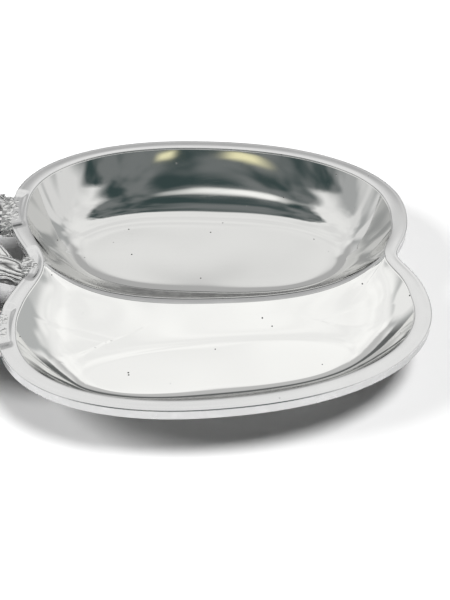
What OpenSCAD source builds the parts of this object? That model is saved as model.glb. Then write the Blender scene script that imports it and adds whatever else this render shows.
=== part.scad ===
// Two-compartment serving dish: two oval lobes side by side under one flat rim,
// a low divider between them, and an openwork twig handle at one end.
// +Z is up, the handle points to -X, the deep bowl lies at +Y, and the table is z = 0.

/* [Lobes] */
// Length of one lobe along its long axis
lobe_length = 200; // [180:5:220]
// Width of one lobe across its long axis
lobe_width = 109.5; // [104:0.5:114]
// Distance between the two lobes' centres
lobe_spacing = 74; // [70:1:78]
// Angle by which each lobe's long axis turns in towards the other one, away from the handle
lobe_tilt = 4.7; // [3:0.1:6]
// Superellipse exponent of a lobe: 2 is an ellipse, more is squarer
lobe_squareness = 2.2; // [2:0.05:2.4]
// Rounding of the notch between the lobes at the end away from the handle
notch_blend_far = 5; // [4:0.5:9]
// Rounding of the notch under the handle
notch_blend_handle = 13; // [10:0.5:14]

/* [Rim] */
// Height of the rim's flat top above the table
rim_height = 33; // [33:1:45]
// Width of the rim's flat top along the long sides
rim_width = 6.3; // [5:0.1:7]
// Extra width of the rim at the two ends of each lobe
rim_flare = 2; // [0:0.1:3]
// Thickness of the rim at its outer side
rim_thickness = 6; // [5.5:0.1:8]
// Rounding of the rim's outer edges
rim_edge = 0.8; // [0.3:0.1:1.5]

/* [Bowls] */
// Depth of the deep bowl below the rim's top
rear_depth = 26; // [24:0.5:27]
// Depth of the shallow bowl below the rim's top
front_depth = 16.5; // [15:0.5:18]
// Thickness of both floors
floor_thickness = 4; // [3:0.5:4]
// Height of the bowls' edge where it is joined to the rim and the divider
joint_height = 5; // [4:0.5:5]
// Half-length of the deep bowl's flat floor
rear_floor_length = 64; // [58:1:66]
// Half-width of the deep bowl's flat floor
rear_floor_width = 25; // [20:1:27]
// Half-length of the shallow bowl's flat floor
front_floor_length = 62; // [56:1:65]
// Half-width of the shallow bowl's flat floor
front_floor_width = 15; // [12:1:17]

/* [Divider] */
// How far the middle of the divider bows towards the shallow bowl
divider_bow = 18; // [12:1:22]
// How far the middle of the divider dips below the rim's top
divider_dip = 9.6; // [6:0.2:11]
// Width of the divider at its middle
divider_width = 5; // [4:0.5:7]
// How far the divider's crest rounds down towards the deep bowl
divider_crown = 1.6; // [0.5:0.1:2]

/* [Foot rings] */
// Width of the foot rings' walls
foot_width = 4.5; // [3:0.5:6]
// Distance of the foot rings in from the edge of the flat floors
foot_inset = 2; // [1:0.5:3]

/* [Handle] */
// Reach of the handle beyond the lobes
handle_reach = 52; // [48:1:60]
// Half the distance between the middles of the handle's two outer seats
handle_spread = 41.5; // [38:0.5:43]
// Width of the outer branches at their seats
branch_width = 28; // [22:1:29]
// Width of the grip
grip_width = 19; // [16:1:22]
// Thickness of the branches at their seats
branch_thickness = 10; // [8:0.5:11]
// Thickness of the grip
grip_thickness = 12; // [9:0.5:13]
// Thickness of a seat between the rim and an outer branch, at its thinnest
seat_thickness = 4; // [3:0.5:5]

/* [Hidden] */

half_steps = 44;        // points along one lobe's outline, from notch to notch
divider_steps = 30;     // sections along the divider
wall_steps = 9;         // rings down a bowl's wall
across_steps = 8;       // points across a branch
branch_steps = 12;      // sections along a branch
floor_steps = 64;       // points around a foot ring
crest_power = 2.5;      // how evenly the divider's bow is spread
dip_power = 6;          // how flat the middle of the divider's dip is
crest_end_power = 3;    // how quickly the divider narrows to its ends
crown_power = 2.5;      // how late the divider's crest starts to round down
side_wall_power = 1.45; // how steeply a bowl's wall starts along its long side
end_wall_power = 2.3;   // how steeply a bowl's wall starts at its ends
rear_ridge_power = 1.5; // how steeply the deep bowl's wall starts at the divider
front_ridge_power = 1.1; // how steeply the shallow bowl's wall starts at the divider
grip_power = 2.6;       // squareness of the outer branches' sweep
edge_share = 0.5;       // thickness of a branch's sides, as a share of its middle
branch_drop = 0.5;      // top of the branches below the rim's top
silver = [0.80, 0.80, 0.79];
bark = [0.62, 0.62, 0.61];

function mix(a, b, t) = a + (b - a) * t;
function signed_pow(v, p) = sign(v) * pow(abs(v), p);
function turn(p, a) = [p[0] * cos(a) - p[1] * sin(a), p[0] * sin(a) + p[1] * cos(a)];
function mirror_y(p) = [p[0], -p[1]];
function unit(v) = v / norm(v);
function superellipse(half_size, power, t) =
    [half_size[0] * signed_pow(cos(t), 2 / power), half_size[1] * signed_pow(sin(t), 2 / power)];

// ---- Plan of the rim ----

// Edge of the rear lobe at angle t, before the notches are rounded
function lobe(t) = [0, lobe_spacing / 2]
    + turn(superellipse([lobe_length, lobe_width] / 2, lobe_squareness, t), -lobe_tilt);

// Rounding of the notches as it changes from one end of the dish to the other
function notch_blend(x) =
    mix(notch_blend_handle, notch_blend_far, min(1, max(0, 0.5 + x / lobe_length)));

// Angle between low and high at which the rear lobe's edge comes down to the notch
function notch_angle(low, high, steps = 30) =
    let (t = (low + high) / 2, p = lobe(t))
    steps == 0 ? t
    : p[1] < notch_blend(p[0]) ? notch_angle(t, high, steps - 1) : notch_angle(low, t, steps - 1);

far_angle = notch_angle(-90, 0);
handle_angle = notch_angle(270, 180);

// The rear half runs from the far notch over the deep bowl to the handle's notch
function rear_edge(i) =
    let (p = lobe(mix(far_angle, handle_angle, (1 - cos(180 * i / half_steps)) / 2)))
    [p[0], sqrt(max(0, pow(p[1], 2) - pow(notch_blend(p[0]), 2)))];

rear_half = [for (i = [0:half_steps]) i % half_steps == 0 ? [rear_edge(i)[0], 0] : rear_edge(i)];
outline = concat(rear_half, [for (i = [half_steps - 1:-1:1]) mirror_y(rear_half[i])]);
outline_count = len(outline);

function outline_point(i) = outline[(i + outline_count) % outline_count];
function inward(i) =
    let (along = unit(outline_point(i + 1) - outline_point(i - 1))) [-along[1], along[0]];
function rim_width_at(i) =
    rim_width + rim_flare * pow(inward(i)[0], 2) * min(1, abs(outline_point(i)[1]) / 25);
function rim_point(i, inset) = outline_point(i) + inset * inward(i);

rim_inner = [for (i = [0:outline_count - 1]) rim_point(i, rim_width_at(i))];
lobes_far_x = max([for (p = outline) p[0]]);
lobes_handle_x = min([for (p = outline) p[0]]);

// The origin lies under the middle of the whole dish, handle included
shift_x = (handle_reach - lobes_handle_x - lobes_far_x) / 2;

// ---- Plan and crest of the divider: e runs from -1 at the handle to 1 at the far notch ----

divider_ends = [rim_inner[half_steps][0], rim_inner[0][0]];
divider_end_half = 0.8;

// How far the rim's inner side leans away from the divider's end, for each mm to either side
function end_lean(e) =
    let (first = e < 0 ? half_steps : 0, next = rim_inner[e < 0 ? half_steps - 1 : 1])
    abs(e) < 1 ? 0 : (next[0] - rim_inner[first][0]) / next[1];

function crest_y(e) = -divider_bow * (1 - pow(abs(e), crest_power));
function crest_z(e) = rim_height - divider_dip * (1 - pow(abs(e), dip_power));
function crest_half(e) = mix(divider_width / 2, divider_end_half, pow(abs(e), crest_end_power));
function crest_fall(e) = divider_crown * (1 - pow(abs(e), crest_end_power));
// Point of the crest at e, with side from -1 at the shallow bowl to 1 at the deep bowl
function crest(e, side) =
    [mix(divider_ends[0], divider_ends[1], (e + 1) / 2) + abs(side) * crest_half(e) * end_lean(e),
     crest_y(e) + side * crest_half(e),
     crest_z(e) - pow((side + 1) / 2, crown_power) * crest_fall(e)];

// ---- Meshes ----

// Solid between equal rings of points, closed at both ends. Each ring runs along its top edge
// and back along its bottom edge, so that an end face is a strip of upright pieces.
module loft(rings) {
    count = len(rings[0]);
    half = count / 2;
    last = (len(rings) - 1) * count;
    sides = [for (r = [0:len(rings) - 2], i = [0:count - 1])
        [r * count + i, (r + 1) * count + i, (r + 1) * count + (i + 1) % count,
         r * count + (i + 1) % count]];
    start = [for (i = [0:half - 2]) [i, i + 1, count - 2 - i, count - 1 - i]];
    end = [for (i = [0:half - 2])
        [last + count - 1 - i, last + count - 2 - i, last + i + 1, last + i]];
    polyhedron([for (ring = rings) each ring], concat(sides, start, end), convexity = 6);
}

// Closed band: sections that follow one another round a loop
module closed_band(sections) {
    count = len(sections[0]);
    total = len(sections) * count;
    faces = [for (r = [0:len(sections) - 1], i = [0:count - 1])
        [r * count + i, r * count + (i + 1) % count,
         ((r + 1) * count + (i + 1) % count) % total, ((r + 1) * count + i) % total]];
    polyhedron([for (s = sections) each s], faces, convexity = 10);
}

// Bowl with a flat floor: loops from the top edge down to the floor, and the same loops lower
// down as its outside
module bowl_shell(loops) {
    count = len(loops[0]);
    rings = len(loops);
    inside = [for (loop = loops) each loop];
    outside = [for (r = [0:rings - 1], p = loops[r])
        p - [0, 0, mix(joint_height, floor_thickness, r / (rings - 1))]];
    below = rings * count;
    walls = [for (r = [0:rings - 2], i = [0:count - 1]) let (j = (i + 1) % count)
        each [[r * count + j, r * count + i, (r + 1) * count + i, (r + 1) * count + j],
              [below + r * count + i, below + r * count + j,
               below + (r + 1) * count + j, below + (r + 1) * count + i]]];
    edge = [for (i = [0:count - 1]) let (j = (i + 1) % count) [i, j, below + j, below + i]];
    floor_top = [for (i = [count - 1:-1:0]) below - count + i];
    floor_under = [for (i = [0:count - 1]) 2 * below - count + i];
    polyhedron(concat(inside, outside), concat(walls, edge, [floor_top, floor_under]),
               convexity = 6);
}

// ---- Bowls ----

// Floor point that a point of the top edge runs down to
function floor_point(top, centre, tilt, top_half, floor_half) =
    let (q = turn([top[0], top[1]] - centre, -tilt),
         t = atan2(q[1] / top_half[1], q[0] / top_half[0]))
    centre + turn(superellipse(floor_half, lobe_squareness, t), tilt);

// Loops of a bowl: each top point falls to its floor point along 1 - (1 - u) ^ power
function bowl_loops(top, floor_points, depth, powers) =
    [for (r = [0:wall_steps]) let (u = r / wall_steps)
        [for (i = [0:len(top) - 1])
            let (p = mix([top[i][0], top[i][1]], floor_points[i], u),
                 fall = top[i][2] - rim_height + depth)
            [p[0], p[1], top[i][2] - fall * (1 - pow(1 - u, powers[i]))]]];

rear_floor = [rear_floor_length, rear_floor_width];
front_floor = [front_floor_length, front_floor_width];
rear_centre = [0, lobe_spacing / 2 - 8];
front_centre = [0, -lobe_spacing / 2 - 17];
rear_top_half = [93, 56];
front_top_half = [92, 40];

rear_top = concat(
    [for (i = [1:half_steps - 1]) [rim_inner[i][0], rim_inner[i][1], rim_height]],
    [for (s = [0:divider_steps]) crest(2 * s / divider_steps - 1, 1)]);
front_top = concat(
    [for (i = [half_steps + 1:outline_count - 1]) [rim_inner[i][0], rim_inner[i][1], rim_height]],
    [for (s = [divider_steps:-1:0]) crest(2 * s / divider_steps - 1, -1)]);
rear_floor_points =
    [for (p = rear_top) floor_point(p, rear_centre, -lobe_tilt, rear_top_half, rear_floor)];
front_floor_points =
    [for (p = front_top) floor_point(p, front_centre, lobe_tilt, front_top_half, front_floor)];
// A wall starts more steeply at a bowl's ends than along its side
function rim_wall_power(i) = mix(side_wall_power, end_wall_power, pow(inward(i)[0], 2));
rear_powers = [for (i = [0:len(rear_top) - 1])
    i < half_steps - 1 ? rim_wall_power(i + 1) : rear_ridge_power];
front_powers = [for (i = [0:len(front_top) - 1])
    i < half_steps - 1 ? rim_wall_power(half_steps + 1 + i) : front_ridge_power];

// ---- Handle ----

handle_tip_x = lobes_handle_x - handle_reach;
seat_x = lobes_handle_x - seat_thickness;
middle_seat_x = rear_half[half_steps][0] - seat_thickness;
outer_seat_y = [handle_spread - branch_width / 2 - 1, handle_spread + branch_width / 2 + 1];
middle_seat_half = 10;
sweep_reach = seat_x - handle_tip_x - grip_width / 2;

// The outer branches and the grip share one sweep: a runs from 90 at the rear seat to -90
function sweep(a) = [seat_x, 0] + superellipse([-sweep_reach, handle_spread], grip_power, a);
function sweep_share(a) = pow(abs(sin(a)), 2);
function sweep_half_width(a) = mix(grip_width, branch_width, sweep_share(a)) / 2;
function sweep_half_thickness(a) = mix(grip_thickness, branch_thickness, sweep_share(a)) / 2;
function sweep_outward(a) =
    abs(a) > 89 ? [0, sign(a)] :
    let (along = unit(sweep(a + 0.5) - sweep(a - 0.5))) [-along[1], along[0]];
// Point of the sweep in plan, with side from -1 at the inner edge to 1 at the outer edge
function sweep_point(a, side) = sweep(a) + side * sweep_half_width(a) * sweep_outward(a);

// Height of a branch's middle where its top lies just below the rim's top
function branch_z(half_thickness) = rim_height - branch_drop - half_thickness;

// Section of a branch: plan points from side to side, with a rounded top and underside
function branch_section(points, half_thickness, middle_z) =
    let (last = len(points) - 1,
         rise = [for (i = [0:last])
             half_thickness * mix(edge_share, 1, sin(180 * i / last))])
    concat([for (i = [0:last]) [points[i][0], points[i][1], middle_z + rise[i]]],
           [for (i = [last:-1:0]) [points[i][0], points[i][1], middle_z - rise[i]]]);

function across(i) = -cos(180 * i / across_steps);

module sweep_branch(from, to)
    loft([for (s = [0:branch_steps]) let (a = mix(from, to, s / branch_steps))
        branch_section([for (i = [0:across_steps]) sweep_point(a, across(i))],
                       sweep_half_thickness(a), branch_z(sweep_half_thickness(a)))]);

grip_angle = 42;        // where the outer branches end and the grip begins

// Middle branch: from its seat in the notch to the inner side of the grip
middle_root = [middle_seat_x, -2];
middle_root_half = 7;
middle_tip_share = 0.8; // the tip's width as a share of the two grip sections that it meets
middle_lift = 5;        // how far the branch bows towards the deep bowl
function middle_tip(side) =
    mix(sweep_point(0, -1), sweep_point(sign(side) * grip_angle * 2 / branch_steps, -1),
        abs(side) * middle_tip_share);
function middle_point(u, side) =
    mix(middle_root + [0, side * middle_root_half], middle_tip(side), u)
    + [0, sin(180 * u) * (middle_lift + 1.5 * side)];
function middle_half_thickness(u) = mix(branch_thickness, grip_thickness * edge_share, u * u) / 2;
function middle_z(u) = mix(branch_z(branch_thickness / 2), branch_z(grip_thickness / 2), u * u);

// Fork twig: from the middle branch's rear side to the rear branch's inner side
twig_root_u = [0.10, 0.38];
twig_tip_a = [87, 72];
twig_waist = 0.12;
function twig_half_thickness(u) = branch_thickness * mix(edge_share, 0.8, sin(180 * u)) / 2;
function twig_point(u, side) =
    let (s = side * (1 - twig_waist * sin(180 * u)),
         share = (s + 1) / 2)
    mix(middle_point(mix(twig_root_u[0], twig_root_u[1], share), 1),
        sweep_point(mix(twig_tip_a[0], twig_tip_a[1], share), -1), u);

// Seat: fills the space between the rim's outer side and an upright plane at plane_x,
// from the rim's point nearest low_y to the one nearest high_y
module seat(low_y, high_y, plane_x) {
    edge = [for (p = outline) if (p[0] < 0 && p[1] >= low_y && p[1] <= high_y) p];
    translate([0, 0, branch_z(branch_thickness)]) linear_extrude(branch_thickness)
        polygon(concat(edge, [[plane_x, edge[len(edge) - 1][1]], [plane_x, edge[0][1]]]));
}

// ---- Sub-parts ----

module rim_band() color(silver) translate([shift_x, 0, 0])
    closed_band([for (i = [0:outline_count - 1])
        let (w = rim_width_at(i), top = rim_height, low = rim_height - rim_thickness)
        [for (q = [[0, low + rim_edge], [0, top - rim_edge], [rim_edge * 0.3, top - rim_edge * 0.3],
                   [rim_edge, top], [w, top], [w, low], [rim_edge, low]])
            let (p = rim_point(i, q[0])) [p[0], p[1], q[1]]]]);

module divider() color(silver) translate([shift_x, 0, 0])
    loft([for (s = [0:divider_steps]) let (e = 1 - 2 * s / divider_steps)
        concat([for (side = [-1, -0.55, 0, 0.55, 1]) crest(e, side)],
               [for (side = [1, 0.55, 0, -0.55, -1]) let (p = crest(e, side))
                   [p[0], p[1], crest(e, 1)[2] - joint_height]])]);

module rear_bowl() color(silver) translate([shift_x, 0, 0])
    bowl_shell(bowl_loops(rear_top, rear_floor_points, rear_depth, rear_powers));

module front_bowl() color(silver) translate([shift_x, 0, 0])
    bowl_shell(bowl_loops(front_top, front_floor_points, front_depth, front_powers));

// Oval ring under a floor, as high as the floor's underside
module foot_ring(centre, tilt, floor_half, height) {
    outer = floor_half - [foot_inset, foot_inset];
    inner = outer - [foot_width, foot_width];
    color(silver) translate([shift_x + centre[0], centre[1], 0]) rotate([0, 0, tilt])
        linear_extrude(height) difference() {
            polygon([for (i = [1:floor_steps])
                superellipse(outer, lobe_squareness, 360 * i / floor_steps)]);
            polygon([for (i = [1:floor_steps])
                superellipse(inner, lobe_squareness, 360 * i / floor_steps)]);
        }
}

module rear_foot_ring()
    foot_ring(rear_centre, -lobe_tilt, rear_floor, rim_height - rear_depth - floor_thickness);

module front_foot_ring()
    foot_ring(front_centre, lobe_tilt, front_floor, rim_height - front_depth - floor_thickness);

module rear_seat() color(bark) translate([shift_x, 0, 0])
    seat(outer_seat_y[0], outer_seat_y[1], seat_x);

module middle_seat() color(bark) translate([shift_x, 0, 0])
    seat(-middle_seat_half, middle_seat_half, middle_seat_x);

module front_seat() color(bark) translate([shift_x, 0, 0])
    seat(-outer_seat_y[1], -outer_seat_y[0], seat_x);

module rear_branch() color(bark) translate([shift_x, 0, 0]) sweep_branch(90, grip_angle);

module front_branch() color(bark) translate([shift_x, 0, 0]) sweep_branch(-grip_angle, -90);

module grip() color(bark) translate([shift_x, 0, 0]) sweep_branch(grip_angle, -grip_angle);

module middle_branch() color(bark) translate([shift_x, 0, 0])
    loft([for (s = [0:branch_steps]) let (u = s / branch_steps)
        branch_section([for (i = [0:across_steps]) middle_point(u, across(i))],
                       middle_half_thickness(u), middle_z(u))]);

module fork_twig() color(bark) translate([shift_x, 0, 0])
    loft([for (s = [0:branch_steps]) let (u = s / branch_steps)
        branch_section([for (i = [across_steps:-1:0]) twig_point(u, across(i))],
                       twig_half_thickness(u), branch_z(branch_thickness / 2))]);

rim_band();
divider();
rear_bowl();
front_bowl();
rear_foot_ring();
front_foot_ring();
rear_seat();
middle_seat();
front_seat();
rear_branch();
middle_branch();
front_branch();
fork_twig();
grip();
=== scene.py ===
"""Looks of a double-lobed serving dish with a twig handle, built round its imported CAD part."""
import logging
import math
from dataclasses import dataclass, field
from enum import Enum

import bmesh
import bpy
import numpy as np
from mathutils import Matrix, Vector, kdtree


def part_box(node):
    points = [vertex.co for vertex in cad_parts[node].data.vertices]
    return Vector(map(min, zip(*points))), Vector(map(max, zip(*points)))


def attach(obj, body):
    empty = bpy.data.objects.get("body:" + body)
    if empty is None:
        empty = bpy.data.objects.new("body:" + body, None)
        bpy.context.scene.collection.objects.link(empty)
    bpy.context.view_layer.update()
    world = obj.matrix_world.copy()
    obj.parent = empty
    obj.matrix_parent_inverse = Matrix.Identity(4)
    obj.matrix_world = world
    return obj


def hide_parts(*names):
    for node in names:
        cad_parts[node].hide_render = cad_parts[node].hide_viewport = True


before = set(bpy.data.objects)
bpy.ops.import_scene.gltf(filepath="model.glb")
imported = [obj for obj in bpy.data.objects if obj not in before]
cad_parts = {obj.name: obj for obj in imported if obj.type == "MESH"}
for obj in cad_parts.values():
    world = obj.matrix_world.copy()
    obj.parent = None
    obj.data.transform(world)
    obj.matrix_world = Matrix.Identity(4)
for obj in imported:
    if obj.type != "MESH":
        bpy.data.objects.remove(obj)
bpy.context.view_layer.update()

MM = 0.001
TINY = 1e-7
BODY = "root"
SEATS = ("rear_seat", "middle_seat", "front_seat")
log = logging.getLogger("serving_dish")


# ---------------------------------------------------------------- small tools

def mix(low: np.ndarray | float, high: np.ndarray | float,
        share: np.ndarray | float) -> np.ndarray | float:
    """Value between low and high, at share of the way."""
    return low + (high - low) * share


def ramp(value: np.ndarray | float, low: float, high: float) -> np.ndarray | float:
    """How far a value has come from low to high, from 0 to 1."""
    return np.clip((value - low) / (high - low), 0, 1)


def eased(share: np.ndarray) -> np.ndarray:
    """A share from 0 to 1 with a soft start and a soft end."""
    return share ** 2 * (3 - 2 * share)


def signed_pow(value: np.ndarray, power: float) -> np.ndarray:
    """Power of a value's size, with its sign kept."""
    return np.sign(value) * np.abs(value) ** power


def superellipse(half_size: tuple[float, float], power: float, angle: np.ndarray) -> np.ndarray:
    """Points of a superellipse round the origin.

    Args:
        half_size: half of its length and half of its width.
        power: 2 is an ellipse, more is squarer.
        angle: angles in radians.

    Returns:
        An array of plan points, one for each angle.
    """
    return np.stack([half_size[0] * signed_pow(np.cos(angle), 2 / power),
                     half_size[1] * signed_pow(np.sin(angle), 2 / power)], axis=-1)


def turned(points: np.ndarray, angle: float) -> np.ndarray:
    """Plan points turned about the origin by an angle in radians."""
    c, s = math.cos(angle), math.sin(angle)
    return points @ np.array([[c, s], [-s, c]])


def lifted(plan: np.ndarray, height: np.ndarray | float) -> np.ndarray:
    """Plan points given a height."""
    z = np.broadcast_to(height, plan.shape[:-1])
    return np.concatenate([plan, z[..., None]], axis=-1)


def loop_normals(loop: np.ndarray) -> np.ndarray:
    """Inward unit normals of a closed plan loop that runs anticlockwise.

    Args:
        loop: the loop's plan points.

    Returns:
        One unit vector for each point.
    """
    along = np.roll(loop, -1, axis=0) - np.roll(loop, 1, axis=0)
    along /= np.linalg.norm(along, axis=1, keepdims=True)
    return np.stack([-along[:, 1], along[:, 0]], axis=1)


def nearest(points: np.ndarray, line: np.ndarray, closed: bool = False) -> tuple[np.ndarray, np.ndarray]:
    """Distance from each point to a line, and where along the line its nearest point is.

    Args:
        points: plan points in an array of any shape.
        line: the line's plan points.
        closed: whether the line's last point joins its first.

    Returns:
        The distances, and positions counted in the line's points, each in the points' shape.
    """
    parts = 12
    path = np.concatenate([line, line[:1]]) if closed else line
    place = np.arange((len(path) - 1) * parts + 1) / parts
    dense = np.stack([np.interp(place, np.arange(len(path)), path[:, k]) for k in (0, 1)], axis=1)
    tree = kdtree.KDTree(len(dense))
    for number, (x, y) in enumerate(dense.tolist()):
        tree.insert((x, y, 0.0), number)
    tree.balance()
    found = [tree.find((x, y, 0.0)) for x, y in points.reshape(-1, 2).tolist()]
    distance = np.array([item[2] for item in found]).reshape(points.shape[:-1])
    position = place[np.array([item[1] for item in found])].reshape(points.shape[:-1])
    return distance, position


def grid_faces(rows: int, columns: int, wrap_rows: bool, wrap_columns: bool) -> list:
    """Quads of a grid of points that is stored row by row.

    Args:
        rows: how many rows of points.
        columns: how many points in a row.
        wrap_rows: whether the last row joins the first.
        wrap_columns: whether each row's last point joins its first.

    Returns:
        A list of faces, four point numbers each.
    """
    r = np.arange(rows if wrap_rows else rows - 1)
    c = np.arange(columns if wrap_columns else columns - 1)
    r, c = np.meshgrid(r, c, indexing="ij")
    r2, c2 = (r + 1) % rows, (c + 1) % columns
    quads = [r * columns + c, r * columns + c2, r2 * columns + c2, r2 * columns + c]
    return np.stack(quads, -1).reshape(-1, 4).tolist()


def lengths_along(points: np.ndarray) -> np.ndarray:
    """Length from the first row of points up to each row."""
    gaps = np.linalg.norm(np.diff(points, axis=0), axis=-1)
    return np.concatenate([np.zeros_like(gaps[:1]), np.cumsum(gaps, axis=0)])


def capped_faces(rows: int, columns: int) -> list:
    """Faces of a tube whose rows are closed loops, with a cap at each end."""
    caps = [list(range(columns)), list(range((rows - 1) * columns, rows * columns))]
    return grid_faces(rows, columns, False, True) + caps


def build_mesh(name: str, points: np.ndarray, faces: list) -> bpy.types.Object:
    """Makes a closed, smooth-shaded mesh object at the origin, with its faces pointing outwards.

    Args:
        name: the object's name.
        points: its points in metres, in the row frame.
        faces: its faces, as lists of point numbers.

    Returns:
        The new object, linked to the scene.
    """
    mesh = bpy.data.meshes.new(name)
    mesh.from_pydata(points.reshape(-1, 3).tolist(), [], faces)
    work = bmesh.new()
    work.from_mesh(mesh)
    bmesh.ops.recalc_face_normals(work, faces=work.faces)
    work.to_mesh(mesh)
    work.free()
    mesh.shade_smooth()
    piece = bpy.data.objects.new(name, mesh)
    bpy.context.scene.collection.objects.link(piece)
    return piece


def add_values(piece: bpy.types.Object, name: str, values: np.ndarray) -> None:
    """Stores one number for each point of a piece as a named attribute."""
    attribute = piece.data.attributes.new(name, "FLOAT", "POINT")
    attribute.data.foreach_set("value", values.astype(np.float32).ravel())


def add_outward(piece: bpy.types.Object, vectors: np.ndarray) -> None:
    """Stores each point's outward direction, which a relief is pressed along."""
    attribute = piece.data.attributes.new("outward", "FLOAT_VECTOR", "POINT")
    attribute.data.foreach_set("vector", vectors.astype(np.float32).ravel())


# ---------------------------------------------------------------- finishes

Colour = tuple[float, float, float]
Value = bpy.types.NodeSocket | float | tuple


class NodeSheet:
    """A material's or a tree's nodes, laid out from left to right."""

    def __init__(self, tree: bpy.types.NodeTree) -> None:
        """Clears the tree and starts a new layout.

        Args:
            tree: the tree that takes the nodes.
        """
        self.tree = tree
        self.tree.nodes.clear()
        self.column = 0

    def add(self, kind: str, **settings) -> bpy.types.Node:
        """Adds a node and sets its named properties.

        Args:
            kind: the node's type name.
            **settings: values for its properties.

        Returns:
            The new node.
        """
        node = self.tree.nodes.new(kind)
        node.location = (self.column * 200, 0)
        self.column += 1
        for name, value in settings.items():
            setattr(node, name, value)
        return node

    def join(self, source: bpy.types.NodeSocket, target: bpy.types.NodeSocket) -> None:
        """Links one socket to another."""
        self.tree.links.new(source, target)

    def put(self, value: Value, socket: bpy.types.NodeSocket) -> None:
        """Links a socket to another, or sets it where the value is not a socket.

        Args:
            value: a socket or a plain value.
            socket: the input that takes it.
        """
        if isinstance(value, bpy.types.NodeSocket):
            self.join(value, socket)
        else:
            socket.default_value = value

    def math(self, operation: str, first: Value, second: Value = 0.0) -> bpy.types.NodeSocket:
        """Adds a Math node.

        Args:
            operation: the node's operation.
            first: its first value.
            second: its second value, where the operation has one.

        Returns:
            The node's output.
        """
        node = self.add("ShaderNodeMath", operation=operation)
        self.put(first, node.inputs[0])
        self.put(second, node.inputs[1])
        return node.outputs[0]

    def between(self, value: Value, low: float, high: float, to_low: Value = 0.0,
                to_high: Value = 1.0) -> bpy.types.NodeSocket:
        """Maps a value from one range to another, with soft clamped ends.

        Args:
            value: the value.
            low: one end of its range.
            high: the other end, which may be the smaller one.
            to_low: the result at low.
            to_high: the result at high.

        Returns:
            The node's output.
        """
        if low > high:
            low, high, to_low, to_high = high, low, to_high, to_low
        node = self.add("ShaderNodeMapRange", interpolation_type="SMOOTHSTEP")
        for socket, number in zip(node.inputs[:5], (value, low, high, to_low, to_high)):
            self.put(number, socket)
        return node.outputs[0]

    def noise(self, place: bpy.types.NodeSocket, scale: float, detail: float = 2.0,
              roughness: float = 0.5) -> bpy.types.NodeSocket:
        """Adds a Noise Texture.

        Args:
            place: where it is read.
            scale: its scale.
            detail: how many finer layers it has.
            roughness: how strong these are.

        Returns:
            Its value.
        """
        node = self.add("ShaderNodeTexNoise", noise_dimensions="3D")
        self.join(place, node.inputs["Vector"])
        node.inputs["Scale"].default_value = scale
        node.inputs["Detail"].default_value = detail
        node.inputs["Roughness"].default_value = roughness
        return node.outputs[0]

    def stretched(self, place: bpy.types.NodeSocket, factors: tuple[float, float, float],
                  turn: float = 0.0) -> bpy.types.NodeSocket:
        """Adds a Mapping node that turns a place about Z and scales it.

        Args:
            place: the place.
            factors: the scale along each axis.
            turn: the angle in radians.

        Returns:
            The new place.
        """
        node = self.add("ShaderNodeMapping")
        self.join(place, node.inputs["Vector"])
        node.inputs["Rotation"].default_value = (0, 0, turn)
        node.inputs["Scale"].default_value = factors
        return node.outputs[0]

    def blend_colour(self, share: Value, low: Value, high: Value) -> bpy.types.NodeSocket:
        """Mixes two colours.

        Args:
            share: how much of the second colour there is.
            low: the first colour, as three numbers or a socket.
            high: the second colour.

        Returns:
            The mixed colour.
        """
        node = self.add("ShaderNodeMix", data_type="RGBA")
        self.put(share, node.inputs[0])
        for colour, socket in ((low, node.inputs[6]), (high, node.inputs[7])):
            self.put((*colour, 1) if isinstance(colour, tuple) else colour, socket)
        return node.outputs[2]

    def bump(self, height: bpy.types.NodeSocket, shader: bpy.types.Node) -> None:
        """Gives a shader its fine relief and ends the material.

        Args:
            height: the relief's height in metres.
            shader: the shader.
        """
        bump = self.add("ShaderNodeBump")
        bump.inputs["Strength"].default_value = 1.0
        bump.inputs["Distance"].default_value = 1.0
        self.join(height, bump.inputs["Height"])
        self.join(bump.outputs[0], shader.inputs["Normal"])
        self.join(shader.outputs[0], self.add("ShaderNodeOutputMaterial").inputs[0])


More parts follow.
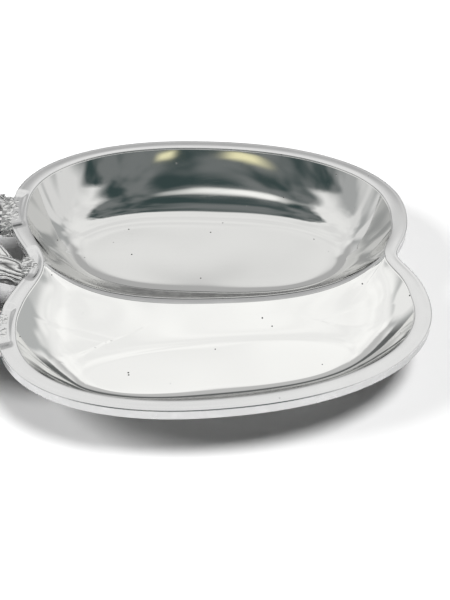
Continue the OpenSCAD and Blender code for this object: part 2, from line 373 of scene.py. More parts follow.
@dataclass(frozen=True)
class PolishedMetal:
    """Hand-polished cast metal: a soft cloud in the gloss, hairline scratches and a few pits.

    A piece's attribute of unpolished metal and crease shade is 1 where the metal is left as it was cast;
    on the bowls' walls it also carries painted shade at the wall's foot, which darkens the colour
    towards the cast tone.
    """

    name: str
    slot: str
    tint: Colour
    shade: Colour = (0.10, 0.10, 0.10)
    # Tone of metal left as cast, also the colour of the painted crease shade on the bowls.
    cast: Colour = (0.30, 0.30, 0.30)
    gloss_low: float = 0.03
    gloss_high: float = 0.07
    cloud_scale: float = 55.0
    scratch_gloss: float = 0.06
    scratch_depth: float = 0.0006 * MM
    cast_gloss: float = 0.45
    cast_scale: float = 180.0
    pit_gloss: float = 0.4
    pit_depth: float = 0.12 * MM
    pit_share: float = 0.07
    pit_spacing: float = 7 * MM
    ripple_depth: float = 0.02 * MM
    ripple_scale: float = 38.0

    def make(self) -> bpy.types.Material:
        """Builds the material's nodes.

        Returns:
            The new material.
        """
        material = bpy.data.materials.new(self.name)
        material.use_nodes = True
        sheet = NodeSheet(material.node_tree)
        place = sheet.add("ShaderNodeTexCoord").outputs["Object"]
        scratches, pits = self._scratches(sheet, place), self._pits(sheet, place)
        # Unpolished metal, and on the bowls painted shade at the wall's foot: the colour goes towards
        # the cast tone and the gloss duller.
        dull_and_shade = sheet.add("ShaderNodeAttribute", attribute_name="unpolished_and_crease_shade").outputs["Fac"]
        grain = sheet.between(sheet.noise(place, self.cast_scale, 3), 0.2, 0.6, 0.75, 1)
        dull_and_shade = sheet.math("MULTIPLY", dull_and_shade, grain)

        shader = sheet.add("ShaderNodeBsdfPrincipled")
        shader.inputs["Metallic"].default_value = 1.0
        tint = sheet.blend_colour(dull_and_shade, self.tint, self.cast)
        sheet.join(sheet.blend_colour(pits, tint, self.shade), shader.inputs["Base Color"])
        cloud = sheet.noise(place, self.cloud_scale, 3)
        gloss = sheet.between(cloud, 0.3, 0.7, self.gloss_low, self.gloss_high)
        height = sheet.math("MULTIPLY", sheet.noise(place, self.ripple_scale, 1), self.ripple_depth)
        for mark, dulling in ((scratches, self.scratch_gloss), (dull_and_shade, self.cast_gloss),
                              (pits, self.pit_gloss)):
            gloss = sheet.math("ADD", gloss, sheet.math("MULTIPLY", mark, dulling))
        for mark, depth in ((scratches, self.scratch_depth), (pits, self.pit_depth)):
            height = sheet.math("SUBTRACT", height, sheet.math("MULTIPLY", mark, depth))
        sheet.join(gloss, shader.inputs["Roughness"])
        sheet.bump(height, shader)
        return material

    def _scratches(self, sheet: NodeSheet, place: bpy.types.NodeSocket) -> bpy.types.NodeSocket:
        """Hairlines in three directions, in patches.

        Args:
            sheet: the material's nodes.
            place: where they are read.

        Returns:
            A value that is 1 in a hairline.
        """
        total = 0.0
        for turn, across in ((0.15, 2600.0), (1.2, 3100.0), (-0.7, 2300.0)):
            lines = sheet.noise(sheet.stretched(place, (28.0, across, 400.0), turn), 1.0, 1)
            total = sheet.math("MAXIMUM", total, sheet.between(lines, 0.66, 0.74))
        patch = sheet.between(sheet.noise(place, 30, 1), 0.45, 0.62)
        return sheet.math("MULTIPLY", total, patch)

    def _pits(self, sheet: NodeSheet, place: bpy.types.NodeSocket) -> bpy.types.NodeSocket:
        """Sparse casting pits.

        Args:
            sheet: the material's nodes.
            place: where they are read.

        Returns:
            A value that is 1 in a pit.
        """
        cells = sheet.add("ShaderNodeTexVoronoi", voronoi_dimensions="3D")
        sheet.join(place, cells.inputs["Vector"])
        cells.inputs["Scale"].default_value = 1 / self.pit_spacing
        dots = sheet.between(cells.outputs["Distance"], self.pit_share, self.pit_share * 0.55)
        chosen = sheet.add("ShaderNodeSeparateColor")
        sheet.join(cells.outputs["Color"], chosen.inputs[0])
        return sheet.math("MULTIPLY", dots, sheet.math("GREATER_THAN", chosen.outputs[0], 0.45))


@dataclass(frozen=True)
class ReliefMetal:
    """Cast metal with a relief: bright where it is rubbed, dark and dull down in the relief; the bark's
    relief mark also holds painted shade on its sides and underside.
    """

    name: str
    slot: str
    bright: Colour
    dark: Colour
    relief: str
    gloss_bright: float = 0.16
    gloss_dark: float = 0.5
    stain_scale: float = 260.0
    grain_gloss: float = 0.08
    grain_depth: float = 0.06 * MM
    grain_scale: float = 900.0

    def make(self) -> bpy.types.Material:
        """Builds the material's nodes.

        Returns:
            The new material.
        """
        material = bpy.data.materials.new(self.name)
        material.use_nodes = True
        sheet = NodeSheet(material.node_tree)
        place = sheet.add("ShaderNodeTexCoord").outputs["Object"]
        depth = sheet.add("ShaderNodeAttribute", attribute_name=self.relief).outputs["Fac"]
        stain = sheet.math("MULTIPLY", sheet.noise(place, self.stain_scale, 3), 0.5)
        grain = sheet.noise(place, self.grain_scale, 3, 0.6)
        # Patina and stains down in the relief, and on the bark painted shade on its sides and underside.
        dirt_and_shade = sheet.between(sheet.math("ADD", depth, stain), 0.35, 1.15)

        shader = sheet.add("ShaderNodeBsdfPrincipled")
        shader.inputs["Metallic"].default_value = 1.0
        sheet.join(sheet.blend_colour(dirt_and_shade, self.bright, self.dark), shader.inputs["Base Color"])
        gloss = sheet.between(dirt_and_shade, 0, 1, self.gloss_bright, self.gloss_dark)
        sheet.join(sheet.math("ADD", gloss, sheet.math("MULTIPLY", grain, self.grain_gloss)),
                   shader.inputs["Roughness"])
        sheet.bump(sheet.math("MULTIPLY", grain, self.grain_depth), shader)
        return material


class Finish(Enum):
    """The dish's finishes."""

    RIM = PolishedMetal("rim_metal", "rim_polish", (0.80, 0.80, 0.80), gloss_low=0.08,
                        gloss_high=0.17, pit_spacing=14 * MM)
    BOWL = PolishedMetal("bowl_metal", "bowl_polish", (0.97, 0.97, 0.955))
    # Painted shade: the same bowl metal as the front bowl, with a darker tint for the rear bowl.
    BOWL_PAINTED_SHADE = PolishedMetal("bowl_metal_painted_shade", "bowl_polish", (0.79, 0.79, 0.78))
    FOOT = PolishedMetal("foot_metal", "foot_satin", (0.72, 0.72, 0.71), gloss_low=0.28,
                         gloss_high=0.42, scratch_depth=0.002 * MM)
    # The bark's mark holds patina in its grooves and painted shade on its sides and underside.
    BARK = ReliefMetal("bark_metal", "bark_cast", (0.84, 0.84, 0.83), (0.17, 0.17, 0.17), "groove")
    SEAT = ReliefMetal("seat_metal", "seat_cast", (0.86, 0.86, 0.85), (0.46, 0.46, 0.46), "pit",
                       gloss_bright=0.2, grain_depth=0.1 * MM)

    def material(self) -> bpy.types.Material:
        """The finish's material, made the first time that it is asked for."""
        found = bpy.data.materials.get(self.value.name)
        return found or self.value.make()


def dress(piece: bpy.types.Object, finish: Finish, *nodes: str) -> bpy.types.Object:
    """Gives a piece its finish, rides it on the dish and lets it stand for its CAD nodes.

    Args:
        piece: the finished piece.
        finish: the finish that it takes.
        nodes: the CAD nodes that it stands for.

    Returns:
        The same piece.
    """
    piece.data.materials.clear()
    piece.data.materials.append(finish.material())
    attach(piece, BODY)
    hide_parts(*nodes)
    log.info("%s: %d faces, %s", piece.name, len(piece.data.polygons), finish.value.name)
    return piece


# ---------------------------------------------------------------- plan of the dish

@dataclass
class DishPlan:
    """Plan and heights that the rim, the divider and the bowls share."""

    lobe_length: float = 200 * MM
    lobe_width: float = 109.5 * MM
    lobe_spacing: float = 74 * MM
    lobe_tilt: float = math.radians(4.7)
    squareness: float = 2.2
    notch_far: float = 5 * MM
    notch_handle: float = 13 * MM
    rim_width: float = 6.3 * MM
    rim_flare: float = 2 * MM
    flare_over: float = 25 * MM
    divider_bow: float = 18 * MM
    divider_dip: float = 9.6 * MM
    divider_width: float = 5 * MM
    divider_end_width: float = 1.6 * MM
    crest_power: float = 2.5
    dip_power: float = 6.0
    crest_end_power: float = 3.0
    seat_fade: float = 5 * MM
    halvings: int = 40
    divider_fall: float = 1.2 * MM
    steps: int = 360
    rim_top: float = field(init=False)
    shift: float = field(init=False)
    outline: np.ndarray = field(init=False)
    inner: np.ndarray = field(init=False)

    def __post_init__(self) -> None:
        """Works out the outline and places it where the CAD rim is."""
        self.shift = 0.0
        half = self._rear_half()
        front = half[-2:0:-1] * np.array([1, -1])
        loop = np.concatenate([half, front])
        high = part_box("rim_band")[1]
        loop[:, 1] *= high.y / loop[:, 1].max()
        self.rim_top = high.z
        self.shift = high.x - loop[:, 0].max()
        self.outline = loop + np.array([self.shift, 0])
        self.inner = self.outline + loop_normals(self.outline) * self.rim_widths()[:, None]

    def _rear_half(self) -> np.ndarray:
        """Lays out the outline round the rear lobe.

        Returns:
            Plan points from the far notch to the handle's notch.
        """
        share = (1 - np.cos(np.linspace(0, math.pi, self.steps + 1))) / 2
        start = self._notch_angle(-math.pi / 2, 0.0)
        end = self._notch_angle(1.5 * math.pi, math.pi)
        edge = self._lobe(mix(start, end, share))
        rounding = edge[:, 1] ** 2 - self._notch_blend(edge[:, 0]) ** 2
        edge[:, 1] = np.sqrt(np.maximum(rounding, 0))
        edge[[0, -1], 1] = 0
        return edge

    def _lobe(self, angle: np.ndarray) -> np.ndarray:
        """Lays out the rear lobe before the notches are rounded.

        Args:
            angle: angles round the lobe.

        Returns:
            Plan points of its edge.
        """
        half_size = (self.lobe_length / 2, self.lobe_width / 2)
        edge = turned(superellipse(half_size, self.squareness, angle), -self.lobe_tilt)
        return edge + np.array([0, self.lobe_spacing / 2])

    def _notch_blend(self, x: np.ndarray) -> np.ndarray:
        """Rounding of the notches as it changes along the dish."""
        return mix(self.notch_handle, self.notch_far, np.clip(0.5 + x / self.lobe_length, 0, 1))

    def _notch_angle(self, low: float, high: float) -> float:
        """Finds where the lobe's edge comes down to the notch.

        Args:
            low: an angle at which it is below the notch's rounding.
            high: an angle at which it is above it.

        Returns:
            The angle between them.
        """
        for _ in range(self.halvings):
            middle = (low + high) / 2
            point = self._lobe(np.array([middle]))[0]
            if point[1] < self._notch_blend(point[0]):
                low = middle
            else:
                high = middle
        return (low + high) / 2

    def rim_widths(self) -> np.ndarray:
        """Works out the rim, which is wider at the lobes' ends.

        Returns:
            The width of its flat top at each point of the outline.
        """
        sideways = loop_normals(self.outline)[:, 0] ** 2
        near = np.minimum(1, np.abs(self.outline[:, 1]) / self.flare_over)
        return self.rim_width + self.rim_flare * sideways * near

    def seat_cover(self) -> np.ndarray:
        """How far a handle seat laps over the rim.

        Returns:
            A share from 0 to 1 for each point of the outline.
        """
        total = np.zeros(len(self.outline))
        for seat in SEATS:
            low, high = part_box(seat)
            inside = np.minimum(self.outline[:, 1] - low.y, high.y - self.outline[:, 1])
            total = np.maximum(total, np.clip(inside / self.seat_fade + 0.5, 0, 1))
        return eased(total) * (self.outline[:, 0] < 0)

    def crest(self, along: np.ndarray, side: np.ndarray | float) -> np.ndarray:
        """Plan points of the divider.

        Args:
            along: from -1 at the handle's notch to 1 at the far notch.
            side: from -1 at the shallow bowl to 1 at the deep bowl.

        Returns:
            The plan points.
        """
        ends = self.inner[self.steps][0], self.inner[0][0]
        x = mix(ends[0], ends[1], (along + 1) / 2)
        y = -self.divider_bow * (1 - np.abs(along) ** self.crest_power)
        half = mix(self.divider_width, self.divider_end_width,
                   np.abs(along) ** self.crest_end_power) / 2
        x, y = np.broadcast_arrays(x, y + side * half)
        return np.stack([x, y], -1)

    def crest_height(self, along: np.ndarray) -> np.ndarray:
        """Height of the divider's front edge."""
        return self.rim_top - self.divider_dip * (1 - np.abs(along) ** self.dip_power)

    def crest_fall(self, along: np.ndarray) -> np.ndarray:
        """How far the divider's back edge lies below its front edge."""
        return self.divider_fall * (1 - np.abs(along) ** self.crest_end_power)


# ---------------------------------------------------------------- rim and divider

@dataclass
class Rim:
    """The flat rim round both bowls, and the divider between them."""

    plan: DishPlan
    thickness: float = 6 * MM
    outer_radius: float = 0.8 * MM
    inner_radius: float = 0.45 * MM
    crown: float = 0.12 * MM
    seat_recess: float = 0.8 * MM
    recess_ends: tuple[float, float] = (0.85, 0.60)
    side_dullness: float = 0.42
    round_steps: int = 6
    flat_steps: int = 10
    divider_steps: int = 300
    divider_rows: int = 25
    divider_slope: float = 0.25
    divider_fall_power: float = 4.0
    joint_height: float = 5 * MM

    def band(self) -> bpy.types.Object:
        """The rim: one closed band whose section has rounded edges and a faintly crowned top.

        Returns:
            The finished piece.
        """
        widths, section = self.plan.rim_widths(), self._section()
        recess = self.plan.seat_cover() * self.seat_recess
        normals = loop_normals(self.plan.outline)
        rings = []
        for share, inset, height in section:
            place = self.plan.outline + normals * (share * widths + inset)[:, None]
            on_top = height > -self.outer_radius - TINY
            sunk = recess * ramp(share, *self.recess_ends) * on_top
            rings.append(lifted(place, self.plan.rim_top + height - sunk))
        rings = np.stack(rings, axis=1)
        size = rings.shape[:2]
        piece = build_mesh("rim_band_polished", rings, grid_faces(*size, True, True))
        add_values(piece, "unpolished_and_crease_shade", np.broadcast_to(self._dullness(section), size))
        return dress(piece, Finish.RIM, "rim_band")

    def _section(self) -> list[tuple[float, float, float]]:
        """Lays out the rim's section, up its side, over its top and back underneath.

        Returns:
            For each point a share of the width, a further inset and a height from the top.
        """
        r, s, t = self.outer_radius, self.inner_radius, self.thickness
        turn = np.linspace(0, math.pi / 2, self.round_steps)
        flat = np.linspace(0, 1, self.flat_steps)[1:-1]
        points = [(0.0, r * (1 - math.sin(a)), -t + r * (1 - math.cos(a))) for a in turn]
        points += [(0.0, 0.0, mix(-t + r, -r, u)) for u in flat]
        points += [(0.0, r * (1 - math.cos(a)), -r + r * math.sin(a)) for a in turn]
        points += [(u, mix(r, -s, u), -self.crown * (2 * u - 1) ** 2) for u in flat]
        points += [(1.0, -s * (1 - math.sin(a)), -self.crown - s * (1 - math.cos(a))) for a in turn]
        return points + [(1.0, 0.0, -t), (0.5, 0.0, -t)]

    def _dullness(self, section: list[tuple[float, float, float]]) -> np.ndarray:
        """Leaves the rim's top polished, its side satin and its underside as cast.

        Args:
            section: the section's points.

        Returns:
            How dull the metal is at each of them.
        """
        height = np.array([point[2] for point in section])
        side = self.side_dullness * (height < -self.outer_radius / 2)
        return np.where(height < -self.thickness + self.outer_radius / 2, 1.0, side)

    def divider(self) -> bpy.types.Object:
        """The divider: a crisp edge at the shallow bowl that rounds over into the deep bowl.

        Returns:
            The finished piece.
        """
        along = np.sin(np.linspace(-math.pi / 2, math.pi / 2, self.divider_steps + 1))
        crest, fall = self.plan.crest_height(along), self.plan.crest_fall(along)
        rows = []
        for across in np.linspace(0, 1, self.divider_rows):
            drop = fall * mix(across ** self.divider_fall_power, across, self.divider_slope)
            rows.append(lifted(self.plan.crest(along, 2 * across - 1), crest - drop))
        for side in (1, -1):
            rows.append(lifted(self.plan.crest(along, side), crest - fall - self.joint_height))
        rings = np.stack(rows, axis=1)
        piece = build_mesh("divider_polished", rings, capped_faces(*rings.shape[:2]))
        return dress(piece, Finish.RIM, "divider")


# ---------------------------------------------------------------- bowls

@dataclass
class Bowl:
    """A bowl with a faintly dished floor: its walls fall from the rim and from the divider."""

    plan: DishPlan
    name: str
    node: str
    rear: bool
    depth: float
    centre_y: float
    floor_half: tuple[float, float]
    floor_squareness: float
    divider_power: float
    # Strength of the painted shade at the wall's foot.
    crease_shade_strength: float
    side_power: float = 1.45
    end_power: float = 2.3
    corner_blend: float = 2.5
    foot_blend: float = 0.05
    foot_spread: float = 2.6 * MM
    floor_dish: float = 0.3 * MM
    floor_eye: float = 0.06
    crease_shade_band: tuple[float, float, float, float] = (0.11, 0.16, 0.52, 0.62)
    edge_height: float = 5 * MM
    floor_thickness: float = 4 * MM
    rim_lip: float = 0.55 * MM
    wave_height: float = 0.035 * MM
    floor_wave: float = 0.8
    wave_fade: float = 2 * MM
    divider_points: int = 260
    rings: int = 80
    ring_crowding: float = 1.6
    floor_rings: int = 24

    def piece(self) -> bpy.types.Object:
        """Builds the bowl as one closed shell.

        Returns:
            The finished piece.
        """
        rim, ridge, ridge_heights = self._sides()
        floor = self._floor_edge(np.concatenate([rim, ridge]))
        down = np.linspace(0, 1, self.rings + 1)[:, None, None]
        down = mix(down, 1 - (1 - down) ** self.ring_crowding, down)
        walls = mix(np.concatenate([rim, ridge])[None], floor[None], down)
        # The second value is the painted shade at the wall's foot, which also dulls the gloss.
        rise, dull = self._walls(walls, rim, ridge, ridge_heights, floor)
        rise[-1] = 0

        inward = np.linspace(1, self.floor_eye, self.floor_rings + 1)[1:, None, None]
        plan = np.concatenate([walls, mix(self.centre, floor[None], inward)])
        level = np.zeros((self.floor_rings, len(floor)))
        dish = level + self.floor_dish * (1 - inward[..., 0] ** 2)
        dish = np.concatenate([np.zeros_like(rise), dish])
        rise, dull = np.concatenate([rise, level]), np.concatenate([dull, level])
        surface = rise + self._waves(plan, rise) + self.plan.rim_top - self.depth
        reach = np.clip(np.arange(len(plan)) / self.rings, 0, 1)[:, None]
        under = surface - mix(self.edge_height, self.floor_thickness, reach)
        inside = self._soften(plan, surface - dish)

        shell = np.concatenate([lifted(plan, inside)[::-1], lifted(plan, under)])
        piece = build_mesh(self.name, shell, capped_faces(*shell.shape[:2]))
        # The inside carries the painted shade at the wall's foot; the underside is left as cast.
        add_values(piece, "unpolished_and_crease_shade", np.concatenate([dull[::-1], np.ones_like(dull)]))
        return dress(piece, Finish.BOWL_PAINTED_SHADE if self.rear else Finish.BOWL, self.node)

    @property
    def centre(self) -> np.ndarray:
        """Plan point in the middle of the floor."""
        return np.array([self.plan.shift, self.centre_y])

    @property
    def tilt(self) -> float:
        """Angle of the bowl's length in plan."""
        return -self.plan.lobe_tilt if self.rear else self.plan.lobe_tilt

    def _sides(self) -> tuple[np.ndarray, np.ndarray, np.ndarray]:
        """Lays out the bowl's top edge.

        Returns:
            The rim's part, the divider's part and the divider's heights.
        """
        steps, plan = self.plan.steps, self.plan
        along = np.sin(np.linspace(-math.pi / 2, math.pi / 2, self.divider_points))
        if self.rear:
            heights = plan.crest_height(along) - plan.crest_fall(along)
            return plan.inner[2:steps - 1], plan.crest(along, 1), heights
        along = along[::-1]
        return plan.inner[steps + 2:2 * steps - 1], plan.crest(along, -1), plan.crest_height(along)

    def _floor_edge(self, top: np.ndarray) -> np.ndarray:
        """Lays out the floor's edge, with a point for each point of the top edge.

        Args:
            top: plan points of the top edge.

        Returns:
            Plan points of the floor's edge.
        """
        local = turned(top - self.centre, -self.tilt)
        extent = np.abs(local).max(0)
        angle = np.arctan2(local[:, 1] / extent[1], local[:, 0] / extent[0])
        edge = superellipse(self.floor_half, self.floor_squareness, angle)
        return self.centre + turned(edge, self.tilt)

    def _walls(self, points: np.ndarray, rim: np.ndarray, ridge: np.ndarray,
               ridge_heights: np.ndarray, floor: np.ndarray) -> tuple[np.ndarray, np.ndarray]:
        """Shapes the walls. The nearer of rim and divider sets their height, blended at corners.

        Args:
            points: plan points between the top edge and the floor.
            rim: the rim's part of the top edge.
            ridge: the divider's part of the top edge.
            ridge_heights: the divider's heights.
            floor: the floor's edge.

        Returns:
            Heights above the floor, and the painted shade at the wall's foot, which also dulls the
            gloss.
        """
        to_rim, rim_place = nearest(points, rim)
        to_ridge, ridge_place = nearest(points, ridge)
        to_floor, _ = nearest(points, floor, closed=True)
        rim_pull = (to_rim + TINY) ** -self.corner_blend
        ridge_pull = (to_ridge + TINY) ** -self.corner_blend
        pull = rim_pull + ridge_pull
        to_top = pull ** (-1 / self.corner_blend)
        ridge_rise = np.interp(ridge_place, np.arange(len(ridge_heights)),
                               ridge_heights - self.plan.rim_top + self.depth)
        rise = ((self.depth - self.rim_lip) * rim_pull + ridge_rise * ridge_pull) / pull
        step = np.gradient(rim, axis=0)
        endwise = step[:, 1] ** 2 / (step ** 2).sum(1)
        endwise = np.interp(rim_place, np.arange(len(rim)), endwise)
        rim_power = mix(self.side_power, self.end_power, endwise)
        power = (rim_power * rim_pull + self.divider_power * ridge_pull) / pull
        share = to_floor / (to_top + to_floor)
        bent = (1 + self.foot_blend) * share ** 2 / (share + self.foot_blend)
        return rise * bent ** power, self._painted_crease_shade(points, share, ridge_pull / pull)

    def _painted_crease_shade(self, points: np.ndarray, share: np.ndarray, ridge: np.ndarray) -> np.ndarray:
        """Painted shade along the wall's foot on the near side: a darker colour, with duller gloss.

        Args:
            points: plan points of the walls.
            share: how far up the wall each point is.
            ridge: how much each point belongs to the divider's wall.

        Returns:
            A value from 0 to 1 for each point.
        """
        foot_low, foot_high, top_low, top_high = self.crease_shade_band
        band = ramp(share, foot_low, foot_high) * ramp(share, top_high, top_low)
        if self.rear:
            return self.crease_shade_strength * band * ramp(ridge, 0.6, 0.9)
        near = (self.centre_y - points[..., 1]) / self.floor_half[1]
        return self.crease_shade_strength * band * (1 - ridge) * ramp(near, 0.75, 1.05)

    def _soften(self, plan: np.ndarray, height: np.ndarray) -> np.ndarray:
        """Smooths away the line where the walls meet the floor.

        Args:
            plan: plan points, row by row from the top edge to the middle.
            height: their heights.

        Returns:
            The new heights.
        """
        along = lengths_along(plan)
        offsets = np.linspace(-2.5, 2.5, 21)
        weights = np.exp(-offsets ** 2 / 2)
        weights /= weights.sum()
        smooth = [np.interp(place[:, None] + offsets * self.foot_spread, place, level) @ weights
                  for place, level in zip(along.T, height.T)]
        away = np.abs(along - along[self.rings]) / (4 * self.foot_spread)
        return mix(height, np.stack(smooth, axis=1), eased(np.clip(1 - away, 0, 1)))

    def _waves(self, plan: np.ndarray, rise: np.ndarray) -> np.ndarray:
        """The faint unevenness of a hand-polished surface, which dies out at the top edge.

        Args:
            plan: plan points.
            rise: their heights above the floor.

        Returns:
            The height to add at each point.
        """
        x, y = plan[..., 0] / MM, plan[..., 1] / MM
        waves = (np.sin(x / 6.1 + 0.7 * np.sin(y / 9.0)) + np.sin(y / 5.3 + 0.9 * np.sin(x / 11.0))
                 + 1.6 * np.sin(x / 13.7 + y / 17.3 + 1.1) + 1.2 * np.sin(x / 19.0 - y / 8.7))
        on_wall = ramp(rise, 0, self.wave_fade) * ramp(rise[:1] - rise, 0, self.wave_fade)
        below_edge = 1 - np.clip(rise / rise[:1], 0, 1) ** 4
        return self.wave_height * waves * mix(self.floor_wave, 1, on_wall) * below_edge


# ---------------------------------------------------------------- geometry trees

def new_tree(name: str, inputs: list[tuple[str, str]]) -> bpy.types.NodeTree:
    """Makes a Geometry Nodes tree that has a geometry input, the named inputs and an output.

    Args:
        name: the tree's name.
        inputs: names and kinds of the further inputs.

    Returns:
        The tree, without nodes.
    """
    tree = bpy.data.node_groups.new(name, "GeometryNodeTree")
    tree.interface.new_socket("Geometry", in_out="OUTPUT", socket_type="NodeSocketGeometry")
    tree.interface.new_socket("Geometry", in_out="INPUT", socket_type="NodeSocketGeometry")
    for label, kind in inputs:
        tree.interface.new_socket(label, in_out="INPUT", socket_type=f"NodeSocket{kind}")
    return tree


def grow(base: bpy.types.Object, tree: bpy.types.NodeTree, values: dict) -> bpy.types.Object:
    """Runs a tree on an object and returns the result as a plain mesh object at the origin.

    Args:
        base: the object that the tree starts from; it is removed.
        tree: the tree to run.
        values: a value for each named input.

    Returns:
        The new object, under the base's name.
    """
    modifier = base.modifiers.new("grow", "NODES")
    modifier.node_group = tree
    for item in tree.interface.items_tree:
        if item.item_type == "SOCKET" and item.in_out == "INPUT" and item.name in values:
            modifier[item.identifier] = values[item.name]
    graph = bpy.context.evaluated_depsgraph_get()
    mesh = bpy.data.meshes.new_from_object(base.evaluated_get(graph))
    base.modifiers.clear()
    name = base.name
    bpy.data.objects.remove(base)
    mesh.name = name
    piece = bpy.data.objects.new(name, mesh)
    bpy.context.scene.collection.objects.link(piece)
    return piece


def end_tree(sheet: NodeSheet, geometry: bpy.types.NodeSocket, entry: bpy.types.Node) -> None:
    """Ends a tree with Realize Instances, Set Material and the output.

    Args:
        sheet: the tree's nodes.
        geometry: what it has made.
        entry: its input node.
    """
    whole = sheet.add("GeometryNodeRealizeInstances")
    sheet.join(geometry, whole.inputs[0])
    coat = sheet.add("GeometryNodeSetMaterial")
    sheet.join(whole.outputs[0], coat.inputs[0])
    sheet.join(entry.outputs["Material"], coat.inputs["Material"])
    sheet.join(coat.outputs[0], sheet.add("NodeGroupOutput").inputs[0])


def press_relief(sheet: NodeSheet, entry: bpy.types.Node, drop: bpy.types.NodeSocket,
                 mark: bpy.types.NodeSocket, label: str) -> None:
    """Moves each point inwards, stores the relief's mark and ends the tree.

    Args:
        sheet: the tree's nodes.
        entry: its input node.
        drop: how far each point moves.
        mark: the number to store, which the finish reads.
        label: the name that it is stored under.
    """
    shift = sheet.add("ShaderNodeVectorMath", operation="SCALE")
    sheet.join(stored_value(sheet, "outward", "FLOAT_VECTOR"), shift.inputs[0])
    sheet.join(sheet.math("MULTIPLY", drop, -1.0), shift.inputs["Scale"])
    moved = sheet.add("GeometryNodeSetPosition")
    sheet.join(entry.outputs["Geometry"], moved.inputs["Geometry"])
    sheet.join(shift.outputs[0], moved.inputs["Offset"])
    stored = sheet.add("GeometryNodeStoreNamedAttribute", data_type="FLOAT", domain="POINT")
    sheet.join(moved.outputs[0], stored.inputs["Geometry"])
    stored.inputs["Name"].default_value = label
    sheet.join(mark, stored.inputs["Value"])
    end_tree(sheet, stored.outputs[0], entry)


def stored_value(sheet: NodeSheet, name: str, kind: str = "FLOAT") -> bpy.types.NodeSocket:
    """Reads what is stored on the points.

    Args:
        sheet: the tree's nodes.
        name: the name that it is stored under.
        kind: its data type.

    Returns:
        The stored value.
    """
    node = sheet.add("GeometryNodeInputNamedAttribute", data_type=kind)
    node.inputs["Name"].default_value = name
    return node.outputs[0]


def seeded_noise(sheet: NodeSheet, entry: bpy.types.Node, scale: Value,
                 detail: float) -> bpy.types.NodeSocket:
    """Noise over the points' places, moved on by the tree's seed.

    Args:
        sheet: the tree's nodes.
        entry: its input node.
        scale: the noise's scale.
        detail: how many finer layers it has.

    Returns:
        The noise's value.
    """
    node = sheet.add("ShaderNodeTexNoise", noise_dimensions="4D")
    sheet.join(sheet.add("GeometryNodeInputPosition").outputs[0], node.inputs["Vector"])
    sheet.join(entry.outputs["Seed"], node.inputs["W"])
    sheet.put(scale, node.inputs["Scale"])
    node.inputs["Detail"].default_value = detail
    return node.outputs[0]


def bark_tree() -> bpy.types.NodeTree:
    """Makes the tree that cuts twisted, wandering bark grooves into a smooth branch.

    Returns:
        The tree.
    """
    lump_scale = 420.0
    groove_power = 0.8
    knob_share = 0.35
    groove_mark = 0.9
    underside_shade_mark = 0.7
    tree = new_tree("bark_relief", [("Ridges", "Float"), ("Twist", "Float"), ("Depth", "Float"),
                                    ("Waviness", "Float"), ("Wave Scale", "Float"),
                                    ("Seed", "Float"), ("Material", "Material")])
    sheet = NodeSheet(tree)
    entry = sheet.add("NodeGroupInput")
    around = sheet.math("MULTIPLY", stored_value(sheet, "around"), entry.outputs["Ridges"])
    twist = sheet.math("MULTIPLY", stored_value(sheet, "along"), entry.outputs["Twist"])
    wander = sheet.math("SUBTRACT", seeded_noise(sheet, entry, entry.outputs["Wave Scale"], 2), 0.5)
    wander = sheet.math("MULTIPLY", wander, entry.outputs["Waviness"])
    phase = sheet.math("ADD", sheet.math("ADD", around, twist), wander)
    wave = sheet.math("ABSOLUTE", sheet.math("SINE", sheet.math("MULTIPLY", phase, math.pi)))
    groove = sheet.math("SUBTRACT", 1.0, sheet.math("POWER", wave, groove_power))

    lumps = seeded_noise(sheet, entry, lump_scale, 3)
    cut = sheet.math("MULTIPLY", groove, sheet.between(lumps, 0.3, 0.7, 0.55, 1.25))
    knobs = sheet.math("MULTIPLY", sheet.math("SUBTRACT", 1.0, lumps), knob_share)
    drop = sheet.math("MULTIPLY", sheet.math("ADD", cut, knobs), entry.outputs["Depth"])
    # Painted shade: sides and undersides that face away from the ceiling are darkened in the stored
    # mark.
    facing = sheet.add("ShaderNodeSeparateXYZ")
    sheet.join(stored_value(sheet, "outward", "FLOAT_VECTOR"), facing.inputs[0])
    underside_shade = sheet.between(facing.outputs[2], 0.55, -0.2, 0.0, underside_shade_mark)
    mark = sheet.math("ADD", sheet.math("MULTIPLY", groove, groove_mark), underside_shade)
    press_relief(sheet, entry, drop, mark, "groove")
    return tree


def pebble_tree() -> bpy.types.NodeTree:
    """Makes the tree that presses close pebbles into a smooth seat.

    Returns:
        The tree.
    """
    stretch = (0.62, 1.15, 1.0)
    bend_scale = 330.0
    bend_size = 2.2
    softness = 0.35
    tree = new_tree("pebble_relief", [("Spacing", "Float"), ("Depth", "Float"), ("Seed", "Float"),
                                      ("Material", "Material")])
    sheet = NodeSheet(tree)
    entry = sheet.add("NodeGroupInput")
    drawn = sheet.add("ShaderNodeVectorMath", operation="MULTIPLY")
    sheet.join(sheet.add("GeometryNodeInputPosition").outputs[0], drawn.inputs[0])
    drawn.inputs[1].default_value = stretch
    place = sheet.add("ShaderNodeVectorMath", operation="SCALE")
    sheet.join(drawn.outputs[0], place.inputs[0])
    sheet.join(sheet.math("DIVIDE", 1.0, entry.outputs["Spacing"]), place.inputs["Scale"])
    push = sheet.add("ShaderNodeVectorMath", operation="ADD")
    sheet.join(place.outputs[0], push.inputs[0])
    bend = sheet.math("MULTIPLY", seeded_noise(sheet, entry, bend_scale, 2), bend_size)
    sheet.join(bend, push.inputs[1])
    cells = sheet.add("ShaderNodeTexVoronoi", voronoi_dimensions="3D", feature="SMOOTH_F1")
    sheet.join(push.outputs[0], cells.inputs["Vector"])
    cells.inputs["Scale"].default_value = 1.0
    cells.inputs["Smoothness"].default_value = softness
    pit = sheet.between(cells.outputs["Distance"], 0.2, 0.8)
    press_relief(sheet, entry, sheet.math("MULTIPLY", pit, entry.outputs["Depth"]), pit, "pit")
    return tree


